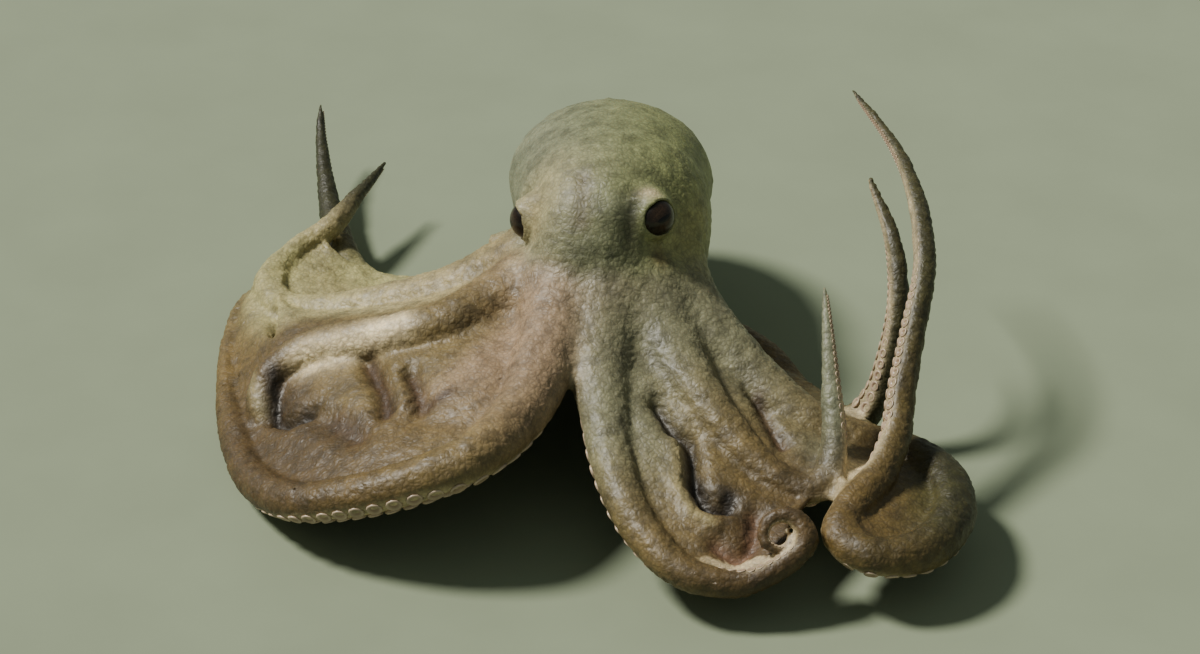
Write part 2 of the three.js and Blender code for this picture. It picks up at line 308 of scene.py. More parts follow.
# Folds of the web sheets, up or down, before they get their thickness.
WEB_FOLDS = (
    Line([(-93, -66), (-84, -92), (-82, -109)], 4.5, -7),
    Line([(-73, -86), (-66, -112)], 4.5, -6),
    Line([(-81, -80), (-74, -108)], 4, 2),
    Line([(-110, -96), (-93, -120)], 6, -4),
    Line([(-70, -120), (-48, -128)], 8, -3),
    Line([(-137, -64), (-132, -78), (-125, -86), (-117, -87)], 4, -9),
    Line([(33, -106), (40, -119), (47, -124), (49, -148), (54, -157), (62, -157)], 4.5, -9),
    Line([(41, -130), (42, -151), (47, -164), (56, -168)], 3.5, 2),
    Line([(57, -177), (65, -183), (72, -178), (74, -161)], 4, -5),
    Line([(76, -92), (82, -109), (87, -121)], 4, -6),
)

# Ridges and grooves pressed into the finished skin along its normals.
SKIN_FOLDS = (
    Line([(-12, -38, 84), (-3, -43, 87), (1, -44, 91)], 2.2, -1.4),
    Line([(9, -47, 84), (18, -49, 80), (27, -46, 77)], 2.4, -1.3),
    Line([(1, -41, 101), (2, -34, 107), (2, -24, 112)], 3.5, -1.1),
    Line([(21, -46, 90), (22, -42, 101), (25, -33, 110)], 3, -0.9),
    Line([(13, -43, 96), (15, -38, 106), (14, -28, 112)], 4, 0.9),
)

# Where the body's tone is warmer and paler, high on the head's side towards -X, under its markings.
WARM_PATCH = Line([(-18, -20, 96)], 26, 0.7, "sand")

# Markings, and some painted shade and painted light: the tone is mixed in by its strength where the skin is
# near the path.
MARKS = (
    Line([(7, -44, 92)], 17, 0.75, "dusk"),
    Line([(-122, -56, 40), (-110, -58, 46), (-97, -62, 53), (-79, -62, 63)], 7.5, 0.97, "cream"),
    Line([(-146, -48, 27), (-144, -62, 27), (-141, -73, 23)], 4, 0.7, "sand"),
    Line([(2, -24, 112), (2, -34, 107), (1, -41, 101)], 4.5, 0.75, "ochre"),
    Line([(25, -33, 110), (22, -42, 101), (21, -46, 90), (19, -50, 80)], 4.5, 0.75, "pitch"),
    Line([(15, -37, 107)], 6, 0.5, "slate"),
    # Painted shade: darker umber along the crease under the face.
    Line([(-12, -38, 84), (-3, -43, 87), (1, -44, 91)], 2.6, 0.6, "umber"),
    Line([(9, -47, 84), (18, -49, 80), (27, -46, 77)], 3, 0.55, "moss"),
    # Painted highlight: a pale spot on the brow above the eye on the animal's left.
    Line([(31, -32, 110)], 4, 0.85, "cream"),
    Line([(-19, -23, 96), (-18, -30, 89)], 3.6, 0.7, "sand"),
    Line([(-28, -36, 74)], 4, 0.7, "cream"),
    Line([(37, -44, 91), (35, -44, 83)], 4.5, 0.7, "umber"),
    Line([(-6, -50, 66), (-8, -78, 58), (-4, -96, 52)], 4, 0.6, "mauve"),
    Line([(56, -24, 84), (58, 10, 84), (56, 40, 84)], 18, 0.45, "moss"),
    # Painted light: a paler straw patch on the cheek beside the eye on the animal's left, lifting its shaded
    # side.
    Line([(47, -32, 88), (52, -12, 88)], 11, 0.55, "straw"),
    # Painted shade: dark pitch on the outer side of left_3's loop and along the front of its bottom, where
    # the loop faces away from the light.
    Line([(154, -112, 32), (162, -146, 32), (153, -170, 32)], 15, 0.93, "pitch"),
    Line([(122, -190, 34), (142, -184, 34)], 14, 0.5, "pitch"),
)

# The web's markings and painted shade, which colour whatever of the web lies above or below their path.
WEB_MARKS = (
    Line([(-122, -118), (-100, -128), (-75, -135)], 20, 0.4, "ochre"),
    # Painted shade: dark in the J-shaped gap, red-brown down the creases, and darker along the folds of the
    # web between right_2 and right_1.
    Line([(-136, -58), (-133, -77), (-126, -86), (-118, -87)], 3.8, 0.95, "shade"),
    Line([(-92, -68), (-84, -94), (-82, -107)], 3.6, 0.85, "maroon"),
    Line([(-73, -88), (-66, -112), (-57, -109)], 3.6, 0.8, "maroon"),
    Line([(-105, -100), (-94, -119)], 5, 0.5, "maroon"),
    Line([(-69, -120), (-50, -122)], 8, 0.5, "umber"),
    # Painted shade: near black down the crack and the hook-shaped gap of the web between left_1 and left_2.
    Line([(34, -108), (40, -119), (47, -124), (49, -147)], 3, 0.9, "shade"),
    Line([(49, -145), (54, -157), (62, -158), (63, -152)], 5, 0.97, "shade"),
    Line([(42, -131), (42, -151), (47, -164), (55, -168)], 2.6, 0.7, "sand"),
    Line([(57, -178), (65, -184), (71, -180), (73, -162)], 3.2, 0.8, "mauve"),
    # Painted shade: red-brown down the notch crease of the web between left_2 and left_3.
    Line([(77, -94), (82, -109), (87, -120)], 3.2, 0.75, "maroon"),
)
WEB_MARKS_TOP = 66  # the web's markings and painted shade reach no higher than this


def place(point):
    """A place in the part's frame, in metres, from one in millimetres."""
    return (Vector(point) - ORIGIN) * MM


def places(points):
    """Several places at once, as the rows of an array; those on a web have no height."""
    points = np.array(points, float)
    return (points - np.array(ORIGIN)[: points.shape[1]]) * MM


def linear(tone):
    """A colour out of 255 as linear light."""
    share = np.array(tone) / 255
    return np.where(share < 0.04045, share / 12.92, ((share + 0.055) / 1.055) ** 2.4)


# ---------------------------------------------------------------- settings


def length_setting(name, description, default):
    return FloatProperty(name=name, description=description, default=default, unit="LENGTH", precision=5)


def colour_setting(name, description, default):
    return FloatVectorProperty(name=name, description=description, default=default, subtype="COLOR")


class OctopusSizes(bpy.types.PropertyGroup):
    grain: length_setting("Skin grain", "Size of the cells that the skin is made from", 0.85 * MM)
    skin_faces: IntProperty(
        name="Skin triangles",
        description="How many triangles the finished skin may have",
        default=192000,
    )
    papilla_height: length_setting("Papilla height", "How far the skin's warts stand up", 0.9 * MM)
    wrinkle_depth: length_setting("Wrinkle depth", "Depth of the folds across the arms", 0.45 * MM)
    sucker_share: FloatProperty(
        name="Sucker size",
        description="Radius of a sucker as a share of the arm's radius beside it",
        default=0.36,
        subtype="FACTOR",
    )


class OctopusColours(bpy.types.PropertyGroup):
    sucker: colour_setting("Sucker", "Colour of the suckers' rims", (0.52, 0.40, 0.28))
    sucker_cup: colour_setting("Sucker cup", "Colour inside the suckers", (0.24, 0.15, 0.09))
    iris: colour_setting("Iris", "Colour of the iris", (0.016, 0.009, 0.005))
    pupil: colour_setting("Pupil", "Colour of the pupil", (0.002, 0.002, 0.002))
    floor: colour_setting("Floor", "Colour of the floor", (0.24, 0.285, 0.187))


class OctopusStage(bpy.types.PropertyGroup):
    floor_size: FloatProperty(name="Floor size", description="Width of the floor", default=6, unit="LENGTH")
    lens: FloatProperty(name="Lens", description="Focal length of the camera in millimetres", default=105)
    elevation: FloatProperty(
        name="Elevation",
        description="How far the camera looks down",
        default=math.radians(33),
        subtype="ANGLE",
    )
    distance: FloatProperty(
        name="Distance", description="From the camera to what it looks at", default=1.5909, unit="LENGTH"
    )
    key_strength: FloatProperty(name="Key light", description="Strength of the key light", default=4.8)
    sky_strength: FloatProperty(name="Sky light", description="Strength of the light all round", default=0.22)


# ---------------------------------------------------------------- curves


def lengths(rows):
    return np.linalg.norm(rows, axis=1)


def moved(points, matrix):
    matrix = np.array(matrix)
    return points @ matrix[:3, :3].T + matrix[:3, 3]


def catmull_rom(points, steps=24):
    """Points on the centripetal Catmull-Rom curve through the given ones, the same curve as the solids'."""
    points = np.array(points, float)
    ends = 2 * points[[0, -1]] - points[[1, -2]]
    run = np.vstack([ends[:1], points, ends[1:]])
    gaps = lengths(np.diff(run, axis=0)) ** 0.5
    t = np.linspace(0, 1, steps, endpoint=False)[:, None]
    pieces = []
    for k in range(1, len(run) - 2):
        a, b, c, d = run[k - 1 : k + 3]
        g0, g1, g2 = gaps[k - 1 : k + 2]
        start = ((b - a) / g0 - (c - a) / (g0 + g1) + (c - b) / g1) * g1
        end = ((c - b) / g1 - (d - b) / (g1 + g2) + (d - c) / g2) * g1
        pieces.append(
            b + start * t + (3 * (c - b) - 2 * start - end) * t**2 + (2 * (b - c) + start + end) * t**3
        )
    return np.vstack([*pieces, points[-1:]])


def crown_point(azimuth, radius, rise):
    """A place on the crown's tilted ring, in millimetres."""
    turned = Matrix.Rotation(math.radians(azimuth), 3, "Z") @ Vector((radius, 0, 0))
    turned = Matrix.Rotation(-CROWN_TILT, 3, "X") @ turned
    return turned + Vector((0, 0, rise)) + Vector(CROWN_CENTRE)


class ArmLine:
    """An arm's centre line, measured along its length, with its radius and the side that bears suckers."""

    def __init__(self, arm):
        start = [
            crown_point(arm.azimuth, CROWN_INNER_RADIUS, CROWN_INNER_RISE),
            crown_point(arm.azimuth, arm.crown_radius, 0),
        ]
        self.arm = arm
        self.line = places(catmull_rom([tuple(p) for p in start] + arm.route))
        self.shares = np.append(0, np.cumsum(lengths(np.diff(self.line, axis=0))))
        self.length = self.shares[-1]
        self.shares /= self.length

    def radius(self, share):
        return (ARM_TIP_RADIUS + (ARM_BASE_RADIUS - ARM_TIP_RADIUS) * (1 - share) ** ARM_TAPER) * MM

    def centre(self, share):
        """The centre at a share of the length, lifted so that the arm lies on the floor."""
        found = Vector([np.interp(share, self.shares, self.line[:, axis]) for axis in range(3)])
        found.z = max(found.z, self.radius(share) - FLOOR_FLAT * MM)
        return found

    def tangent(self, share):
        step = 0.004
        return (self.centre(min(share + step, 1)) - self.centre(max(share - step, 0))).normalized()

    def axes(self, share):
        """A turn whose X is sideways, Y towards the suckers and Z along the arm."""
        shares = [s for s, _ in self.arm.oral]
        oral = Vector([np.interp(share, shares, [d[axis] for _, d in self.arm.oral]) for axis in range(3)])
        along = self.tangent(share)
        oral = (oral - along * oral.dot(along)).normalized()
        return Matrix([oral.cross(along), oral, along]).transposed()

    def tone(self, share):
        shares = [s for s, _ in self.arm.tones]
        colours = np.array([linear(SKIN_TONES[name]) for _, name in self.arm.tones])
        return np.array([np.interp(share, shares, colours[:, channel]) for channel in range(3)])


LINES = {name: ArmLine(arm) for name, arm in ARMS.items()}


def distance_to(points, path):
    """How far each point is from a path of one or more places."""
    if len(path) == 1:
        return lengths(points - path[0])
    nearest = np.full(len(points), np.inf)
    for a, b in zip(path[:-1], path[1:]):
        span = b - a
        along = np.clip((points - a) @ span / (span @ span), 0, 1)
        nearest = np.minimum(nearest, lengths(points - a - along[:, None] * span))
    return nearest


def bell(distance, width):
    return np.exp(-((distance / width) ** 2))


def inside(distance, edge):
    """1 well inside and 0 well outside, for signed distances, with a soft edge."""
    return 1 / (1 + np.exp(distance / edge))


def noise_at(points, size, seed):
    """Smooth noise from -1 to 1 at each point, its lumps about `size` across."""
    shifted = points / size + seed * 17.31
    return np.array([noise.noise(p) for p in map(Vector, shifted)])


def bumps_at(points, size, seed, narrowness):
    """Scattered cones, about `size` apart, from 0 between them to 1 at their tops."""
    shifted = points / size + seed * 17.31
    away = np.array([noise.voronoi(p)[0][0] for p in map(Vector, shifted)])
    return np.clip(1 - away * narrowness, 0, 1)


# ---------------------------------------------------------------- flesh


def finished(name, bm):
    """The bmesh as a mesh."""
    mesh = bpy.data.meshes.new(name)
    bm.to_mesh(mesh)
    bm.free()
    return mesh


def put_in_scene(name, data):
    made = bpy.data.objects.new(name, data)
    bpy.context.scene.collection.objects.link(made)
    return made


def sweep(bm, rings, sides, outline=None):
    """Adds a closed tube: a ring extruded from matrix to matrix."""
    tube = bmesh.new()  # small, because each extrusion walks the whole mesh
    made = bmesh.ops.create_circle(tube, cap_ends=True, segments=sides, radius=1)["verts"]
    if outline:
        for v in made:
            outline(v)
    bmesh.ops.transform(tube, matrix=rings[0], verts=made)
    edges = list(tube.edges)
    for before, after in zip(rings[:-1], rings[1:]):
        grown = bmesh.ops.extrude_edge_only(tube, edges=edges)["geom"]
        made = {g for g in grown if isinstance(g, bmesh.types.BMVert)}
        bmesh.ops.transform(tube, matrix=after @ before.inverted(), verts=list(made))
        edges = [e for e in {e for v in made for e in v.link_edges} if all(v in made for v in e.verts)]
    bmesh.ops.contextual_create(tube, geom=edges)
    bmesh.ops.recalc_face_normals(tube, faces=tube.faces)
    mesh = finished("tube", tube)
    bm.from_mesh(mesh)
    bpy.data.meshes.remove(mesh)


def ring(centre, turn, radius):
    return Matrix.Translation(centre) @ turn.to_4x4() @ Matrix.Scale(radius, 4)


def arm_outline(v):
    """Flattens the side of an arm that bears suckers, with a shallow groove along its middle."""
    if v.co.y > 0:
        v.co.y *= 1 - 0.2 * v.co.y**2 - 0.06 * v.co.y**8


def add_arm(bm, line):
    step = 3.5 * MM
    shares = np.linspace(0, 1, int(line.length / step))
    rings = [ring(line.centre(s), line.axes(s), line.radius(s)) for s in shares]
    tip = shares[-1]
    for share, reach in ((0.75, 0.5), (0.35, 0.85)):
        forward = line.tangent(tip) * line.radius(tip) * reach
        rings.append(ring(line.centre(tip) + forward, line.axes(tip), line.radius(tip) * share))
    sweep(bm, rings, 20, arm_outline)


def add_ball(bm, matrix, radius=1.0):
    return bmesh.ops.create_uvsphere(bm, u_segments=64, v_segments=40, radius=radius, matrix=matrix)["verts"]


def head_matrix():
    return Matrix.Translation(place(HEAD_CENTRE)) @ HEAD_TURN.to_matrix().to_4x4() @ Matrix.Scale(MM, 4)


def neck_matrix():
    size = Matrix.Diagonal((*NECK_SEMI_AXES, 1))
    return Matrix.Translation(place(NECK_CENTRE)) @ Matrix.Scale(MM, 4) @ size


def eye_matrix(side):
    """The eye's own axes: Z looks out, X along the slit of the pupil, Y up."""
    outward = Vector((EYE_AXIS[0] * side, *EYE_AXIS[1:])).normalized()
    up = Vector((0, 0, 1))
    up = (up - outward * up.dot(outward)).normalized()
    turn = Matrix([up.cross(outward), up, outward]).transposed()
    centre = Vector((EYE_PLACE[0] * side, *EYE_PLACE[1:]))
    return head_matrix() @ Matrix.Translation(centre) @ turn.to_4x4()


def add_head(bm):
    head = head_matrix()
    add_ball(bm, head @ Matrix.Diagonal((*HEAD_SEMI_AXES, 1)))
    for side in (-1, 1):
        sunk = Matrix.Translation((0, 0, -EYE_MOUND_SINK))
        add_ball(bm, eye_matrix(side) @ sunk, EYE_MOUND_RADIUS)
    add_ball(bm, neck_matrix())
    crown = Matrix.Translation(place(CROWN_CENTRE)) @ Matrix.Rotation(-CROWN_TILT, 4, "X")
    add_ball(bm, crown @ Matrix.Scale(MM, 4) @ Matrix.Diagonal((*CROWN_FLESH, 1)))


def mantle_matrix():
    return (
        Matrix.Translation(place(MANTLE_CENTRE))
        @ Matrix.Rotation(MANTLE_PITCH, 4, "X")
        @ Matrix.Scale(MM, 4)
        @ Matrix.Diagonal((*MANTLE_SEMI_AXES, 1))
    )


def add_mantle(bm):
    ball = add_ball(bm, Matrix.Identity(4))
    for v in ball:
        swell = 1 + MANTLE_REAR_SWELL * math.sin(v.co.y * math.pi / 2)
        v.co.x *= swell
        v.co.z *= swell
    bmesh.ops.transform(bm, matrix=mantle_matrix(), verts=ball)


def add_funnel(bm):
    """A tapering tube, turned in at its lip and bored down from there."""
    root, tip = place(FUNNEL_ROOT), place(FUNNEL_TIP)
    along = (tip - root).normalized()
    turn = along.to_track_quat("Z", "Y").to_matrix()
    length = (tip - root).length
    rings = []
    for share in np.linspace(0, 1, 9):
        radius = (FUNNEL_RADII[0] + (FUNNEL_RADII[1] - FUNNEL_RADII[0]) * share) * MM
        rings.append(ring(root + along * length * share, turn, radius))
    inner = (FUNNEL_RADII[1] - FUNNEL_WALL) * MM
    for depth in (0, 0.3, 0.7, 1):
        rings.append(ring(tip - along * FUNNEL_BORE * MM * depth, turn, inner))
    sweep(bm, rings, 32)


def add_web(bm, web):
    """A sheet hung between two arms' centre lines, folded, then given its thickness."""
    a, b = (LINES[name] for name in web.arms)
    facing = bm.verts.layers.float_vector.get("facing") or bm.verts.layers.float_vector.new("facing")
    made = bmesh.ops.create_grid(bm, x_segments=36, y_segments=72, size=0.5)["verts"]
    for v in made:
        across, down = v.co.x + 0.5, v.co.y + 0.5
        bow = math.sin(math.pi * across)
        depth = down * (1 - web.drawn * bow)
        ends = []
        for line, start, reach in zip((a, b), web.start, web.reach):
            ends.append(line.centre((start + depth * (reach - start)) * MM / line.length))
        v.co = ends[0].lerp(ends[1], across)
        v.co.z += WEB_CROWN_RISE * MM * bow
    points = np.array([v.co for v in made])
    for fold in WEB_FOLDS:
        away = distance_to(points[:, :2], places(fold.path))
        points[:, 2] += bell(away, fold.width * MM) * fold.amount * MM
    for v, point in zip(made, points):
        v.co.z = max(point[2], 0.5 * WEB_THICKNESS * MM)
    faces = list({f for v in made for f in v.link_faces})
    bmesh.ops.recalc_face_normals(bm, faces=faces)
    for v in made:
        v[facing] = v.normal
    half = WEB_THICKNESS * MM / 2
    copied = bmesh.ops.extrude_face_region(bm, geom=faces)["geom"]
    for v in copied:
        if isinstance(v, bmesh.types.BMVert):
            v.co -= v[facing] * half
    for v in made:
        v.co += v[facing] * half


def evaluated(obj):
    """The object's mesh with its modifiers applied."""
    bpy.context.view_layer.update()
    graph = bpy.context.evaluated_depsgraph_get()
    mesh = bpy.data.meshes.new_from_object(obj.evaluated_get(graph))
    obj.modifiers.clear()
    old, obj.data = obj.data, mesh
    bpy.data.meshes.remove(old)
    return mesh


def new_piece(name, bm, material):
    piece = put_in_scene(name, finished(name, bm))
    piece.data.materials.append(material)
    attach(piece, "root")
    return piece


def coordinates(mesh):
    found = np.empty(len(mesh.vertices) * 3)
    mesh.vertices.foreach_get("co", found)
    return found.reshape(-1, 3)


def normals(mesh):
    found = np.empty(len(mesh.vertices) * 3, np.float32)
    mesh.vertex_normals.foreach_get("vector", found)
    return found.reshape(-1, 3).astype(float)


def put_coordinates(mesh, points):
    mesh.vertices.foreach_set("co", points.ravel())
    mesh.update()


def above_floor(points):
    return np.maximum(points, (-np.inf, -np.inf, 0))


def smooth_by(piece, name, weights, rounds):
    """Smooths the piece where the weights are high."""
    group = piece.vertex_groups.new(name=name)
    steps = 20
    levels = np.round(np.clip(weights, 0, 1) * steps).astype(int)
    for level in range(1, steps + 1):
        group.add(np.nonzero(levels == level)[0].tolist(), level / steps, "REPLACE")
    smooth = piece.modifiers.new(name, "SMOOTH")
    smooth.factor = 0.5
    smooth.iterations = rounds
    smooth.vertex_group = name
    evaluated(piece)
    piece.vertex_groups.clear()


def drop_crumbs(mesh):
    """Deletes whatever isn't joined to the mesh's largest body."""
    bm = bmesh.new()
    bm.from_mesh(mesh)
    left = set(bm.verts)
    bodies = []
    while left:
        reached = [left.pop()]
        body = list(reached)
        while reached:
            v = reached.pop()
            found = [other for e in v.link_edges if (other := e.other_vert(v)) in left]
            left.difference_update(found)
            reached += found
            body += found
        bodies.append(body)
    bodies.sort(key=len)
    crumbs = [v for body in bodies[:-1] for v in body]
    bmesh.ops.delete(bm, geom=crumbs, context="VERTS")
    bm.to_mesh(mesh)
    bm.free()


def even_out(piece, grain):
    """Rebuilds the piece as one closed surface of even cells, which also joins whatever overlaps."""
    cells = piece.modifiers.new("cells", "REMESH")
    cells.mode = "VOXEL"
    cells.voxel_size = grain
    cells.use_smooth_shade = True
    evaluated(piece)


def rounds_for(spread, grain):
    """How many rounds of smoothing blur a mesh of this grain by about `spread`."""
    return max(1, round((spread / grain) ** 2))


def ball_distances(points):
    """Signed distances, about, from the head, the neck and the mantle: one row for each."""
    found = []
    for matrix in (head_matrix() @ Matrix.Diagonal((*HEAD_SEMI_AXES, 1)), neck_matrix(), mantle_matrix()):
        size = lengths(moved(points, matrix.inverted()))
        span = lengths(points - np.array(matrix.translation))
        found.append((size - 1) * span / np.maximum(size, 1e-6))
    return np.array(found)


def body_distance(points):
    """Signed distance, about, from the head, neck and mantle together."""
    return ball_distances(points).min(0)


class ArmField:
    """The arms as rows of places along their centre lines, for asking what lies near a point."""

    step = 4 * MM
    block = 2000
    blur = 5 * MM  # over which the arms' colours run into each other

    def __init__(self):
        centres, radii, tones, orals = [], [], [], []
        self.firsts = []  # each arm's first row
        for line in LINES.values():
            self.firsts.append(len(centres))
            for share in np.linspace(0, 1, int(line.length / self.step)):
                centres.append(line.centre(share))
                radii.append(line.radius(share))
                tones.append(line.tone(share))
                orals.append(line.axes(share).col[1])
        self.centres, self.radii, self.tones, self.orals = map(np.array, (centres, radii, tones, orals))

    def blocks(self, points):
        """Yields each block's rows and their distances from the surface at every place."""
        squares = (self.centres**2).sum(1)
        for start in range(0, len(points), self.block):
            rows = slice(start, start + self.block)
            part = points[rows]
            away = (part**2).sum(1)[:, None] + squares - 2 * part @ self.centres.T
            yield rows, np.sqrt(np.maximum(away, 0)) - self.radii

    def arm_distances(self, points):
        """Signed distance from every arm: one row for each."""
        found = np.empty((len(self.firsts), len(points)))
        for rows, away in self.blocks(points):
            found[:, rows] = np.minimum.reduceat(away, self.firsts, axis=1).T
        return found

    def nearest(self, points):
        """Distance from the nearest arm's surface, and how squarely the point lies on its sucker side."""
        found, facing = np.empty(len(points)), np.empty(len(points))
        for rows, away in self.blocks(points):
            best = away.argmin(1)
            found[rows] = away[np.arange(len(away)), best]
            span = points[rows] - self.centres[best]
            facing[rows] = (span * self.orals[best]).sum(1) / np.maximum(lengths(span), 1e-6)
        return found, facing

    def colours(self, points):
        found = np.empty((len(points), 3))
        for rows, away in self.blocks(points):
            weights = np.exp((away.min(1, keepdims=True) - away) / self.blur)
            found[rows] = weights @ self.tones / weights.sum(1, keepdims=True)
        return found


def filled(points, outward, field, reach):
    """Raises the creases where head, neck, mantle and arms meet; `reach` is a size for each point."""
    away = np.vstack([ball_distances(points), field.arm_distances(points)])
    lowest = away.min(0)
    excess = reach * np.log(np.exp((lowest - away) / reach).sum(0))
    lift = np.clip(excess - np.maximum(lowest, 0), 0, reach) * bell(np.maximum(lowest, 0), reach)
    return points + outward * lift[:, None]


def from_crown(points):
    return lengths(points - np.array(place(CROWN_CENTRE)))


def near_eyes(points):
    """How near each point is to an eye, from 0 to 1."""
    away = [lengths(points - np.array(eye_matrix(side).translation)) for side in (-1, 1)]
    return bell(np.maximum(np.minimum(*away) - EYE_CORE * MM, 0), EYE_SURROUND * MM)


def dress_eyes(points):
    """Raises the lids round each eye and sinks the skin under the eyeball."""
    for side in (-1, 1):
        matrix = eye_matrix(side)
        local = moved(points, matrix.inverted())
        x, y, z = local.T
        ring_distance = np.sqrt((x / LID_STRETCH) ** 2 + y**2)
        front = z > -4
        lid = LID_HEIGHT * bell(ring_distance - LID_RADIUS, LID_WIDTH) * (1 + 0.5 * np.clip(y / 8, 0, 1))
        brow_distance = np.hypot((x + BROW_PLACE[0] * side) / BROW_STRETCH, y - BROW_PLACE[1])
        brow = BROW_HEIGHT * bell(brow_distance, BROW_WIDTH)
        sink = -SOCKET_DEPTH * inside(ring_distance - SOCKET_RADIUS, SOCKET_EDGE)
        local[:, 2] += np.where(front, lid + brow + sink, 0)
        near = front & (ring_distance < EYE_REACH)
        points[near] = moved(local, matrix)[near]
    return points


def skin_relief(points, outward, field, sizes):
    """Warts on the body, wrinkles across the arms and folds along their paths."""
    body = body_distance(points)
    facing = field.nearest(points)[1]
    on_body = inside(body - 3 * MM, 1.5 * MM)
    above = np.clip(outward[:, 2] + 0.6, 0, 1)
    lift = np.zeros(len(points))
    warts = bumps_at(points, WART_SPACING * MM, 3, 2.4) ** 1.5
    patchy = np.clip(noise_at(points, WART_PATCH * MM, 5) * 1.6 + 0.45, 0, 1)
    lift += warts * patchy * on_body * above * sizes.papilla_height
    pimples = bumps_at(points, PIMPLE_SPACING * MM, 8, 2.2)
    lift += pimples * (1 - np.clip(facing, 0, 1)) * PIMPLE_HEIGHT * MM
    lift += noise_at(points, SWELLING_SPACING * MM, 11) * SWELLING_HEIGHT * MM
    wrinkles = np.abs(noise_at(points * (1, 1, 1.6), WRINKLE_SPACING * MM, 21))
    depth = (0.35 - np.clip(wrinkles, 0, 0.35)) / 0.35 * sizes.wrinkle_depth
    lift -= depth * (1 - on_body) * np.clip(1 - facing, 0, 1)
    for fold in SKIN_FOLDS:
        lift += bell(distance_to(points, places(fold.path)), fold.width * MM) * fold.amount * MM
    lift *= np.clip((points[:, 2] - 0.3 * MM) / (3 * MM), 0, 1)
    return points + outward * lift[:, None]


def tinted(colours, tone, share):
    """The colours with a named tone mixed in by its share at each point."""
    return colours + (linear(SKIN_TONES[tone]) - colours) * share[:, None]


def skin_colours(points, field):
    """The skin's colour at each point, as linear light, with the painted shade and painted light of some
    marks in it.
    """
    body = body_distance(points)
    arms, facing = field.nearest(points)
    colours = field.colours(points)
    head_share = inside(body - np.maximum(arms, -2 * MM) - 1 * MM, 3 * MM)
    side = np.clip((points[:, 0] - place((14, 0, 0)).x) / (38 * MM) * 0.5 + 0.45, 0, 1)[:, None]
    body_tone = linear(SKIN_TONES["slate"]) * (1 - side) + linear(SKIN_TONES["moss"]) * side
    warm = bell(distance_to(points, places(WARM_PATCH.path)), WARM_PATCH.width * MM)
    body_tone = tinted(body_tone, WARM_PATCH.tone, warm * WARM_PATCH.amount)
    colours = colours + (body_tone - colours) * head_share[:, None]
    for mark in MARKS:
        near = bell(distance_to(points, places(mark.path)), mark.width * MM)
        colours = tinted(colours, mark.tone, near * mark.amount)
    low = points[:, 2] < WEB_MARKS_TOP * MM
    for mark in WEB_MARKS:
        near = bell(distance_to(points[:, :2], places(mark.path)), mark.width * MM)
        colours = tinted(colours, mark.tone, near * low * mark.amount)
    pale = np.clip((facing - 0.45) / 0.4, 0, 1) * (1 - head_share) * (np.abs(arms) < 4 * MM)
    return tinted(colours, "cream", pale * 0.55)


# ---------------------------------------------------------------- materials


class Shader:
    """A material's nodes, added one at a time."""

    def __init__(self, name):
        self.material = bpy.data.materials.new(name)
        self.material.use_nodes = True
        self.tree = self.material.node_tree
        self.surface = self.tree.nodes["Principled BSDF"]

    def add(self, kind, inputs=(), **settings):
        node = self.tree.nodes.new(kind)
        for key, value in settings.items():
            setattr(node, key, value)
        for key, value in dict(inputs).items():
            self.set(node.inputs[key], value)
        return node

    def set(self, socket, value):
        if isinstance(value, bpy.types.NodeSocket):
            self.tree.links.new(value, socket)
        else:
            socket.default_value = value

    def finish(self, values):
        """Sets or links the surface's own inputs."""
        for name, value in values.items():
            self.set(self.surface.inputs[name], value)
        return self.material

    def maths(self, operation, *values):
        node = self.add("ShaderNodeMath", operation=operation)
        for socket, value in zip(node.inputs, values):
            self.set(socket, value)
        return node.outputs[0]

    def mix(self, factor, a, b, blend="MIX"):
        node = self.add("ShaderNodeMix", data_type="RGBA", blend_type=blend)
        for key, value in ((0, factor), (6, a), (7, b)):
            self.set(node.inputs[key], value)
        return node.outputs[2]

    def ramp(self, value, *stops):
        """Grey levels: (place, level) pairs."""
        node = self.add("ShaderNodeValToRGB", {"Fac": value})
        while len(node.color_ramp.elements) < len(stops):
            node.color_ramp.elements.new(1)
        for element, (position, level) in zip(node.color_ramp.elements, stops):
            element.position = position
            element.color = (level, level, level, 1)
        return node.outputs["Color"]

    def noise(self, place_of, size, detail=4, **inputs):
        values = {"Vector": place_of, "Scale": 1 / size, "Detail": detail, **inputs}
        node = self.add("ShaderNodeTexNoise", values)
        return node.outputs["Fac"]

    def cells(self, place_of, size, feature="F1"):
        node = self.add("ShaderNodeTexVoronoi", {"Vector": place_of, "Scale": 1 / size}, feature=feature)
        return node.outputs["Distance"]

    def bump(self, height, distance, strength=1.0, below=None):
        node = self.add("ShaderNodeBump", {"Height": height, "Distance": distance, "Strength": strength})
        if below:
            self.set(node.inputs["Normal"], below)
        return node.outputs["Normal"]


